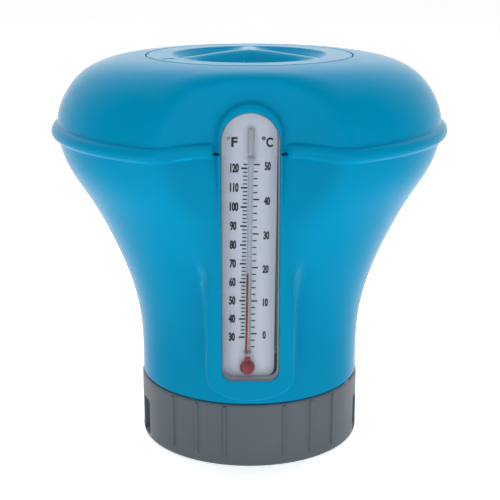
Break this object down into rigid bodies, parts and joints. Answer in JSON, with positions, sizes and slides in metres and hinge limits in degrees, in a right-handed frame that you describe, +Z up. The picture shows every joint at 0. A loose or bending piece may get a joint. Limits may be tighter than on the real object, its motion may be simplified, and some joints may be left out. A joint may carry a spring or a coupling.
{
  "type": "floating chlorine dispenser",
  "caption": "Mushroom-shaped floating tablet dispenser with a flared float, a screw lid, a front thermometer and a slotted turning collar.",
  "frame": {"origin": "on the float's axis, in the plane that the dispenser stands on", "axes": "+Z up along the float's axis, the thermometer faces -Y, +X to the right of a person who reads it"},
  "size_m": [0.165, 0.1552, 0.1673],
  "materials": {
    "blue_plastic": "glossy moulded",
    "grey_plastic": "satin moulded",
    "black_rubber": "matt",
    "pale_silicone": "matt translucent",
    "clear_plastic": "clear polished",
    "glass": "clear",
    "silver_card": "printed satin",
    "dark_plastic": "satin",
    "white_plastic": "satin",
    "red_spirit": "liquid",
    "steel": "bright"
  },
  "bodies": {
    "float": {"lower_shell": "blue_plastic", "upper_shell": "blue_plastic", "shell_seal": "black_rubber", "chamber_tube": "blue_plastic", "chamber_seal_upper": "black_rubber", "chamber_seal_lower": "black_rubber", "tablet_grate": "blue_plastic", "thermometer_tray": "dark_plastic", "thermometer_scale": "silver_card", "thermometer_lens": "clear_plastic", "lens_gasket": "pale_silicone", "capillary_tube": "glass", "indicator_spirit": "red_spirit", "tube_clip_upper": "steel", "tube_clip_lower": "steel", "tube_end_sleeve": "white_plastic"},
    "lid_seal": {"lid_seal": "black_rubber"},
    "refill_lid": {"refill_lid": "blue_plastic"},
    "vent_collar": {"vent_collar": "grey_plastic"}
  },
  "joints": [
    {"name": "collar_turn", "type": "hinge", "parent": "float", "child": "vent_collar", "pos_m": [0, 0, 0.014], "axis": [0, 0, 1], "range_deg": [-3, 45]},
    {"name": "lid_rise", "type": "slide", "parent": "float", "child": "lid_seal", "axis": [0, 0, 1], "range_m": [0, 0.00901]},
    {"name": "lid_turn", "type": "hinge", "parent": "lid_seal", "child": "refill_lid", "pos_m": [0, 0, 0.15], "axis": [0, 0, 1], "range_deg": [0, 90]}
  ],
  "couplings": [
    {"joint": "lid_rise", "follows": "lid_turn", "m_per_rad": 0.0057296}
  ]
}
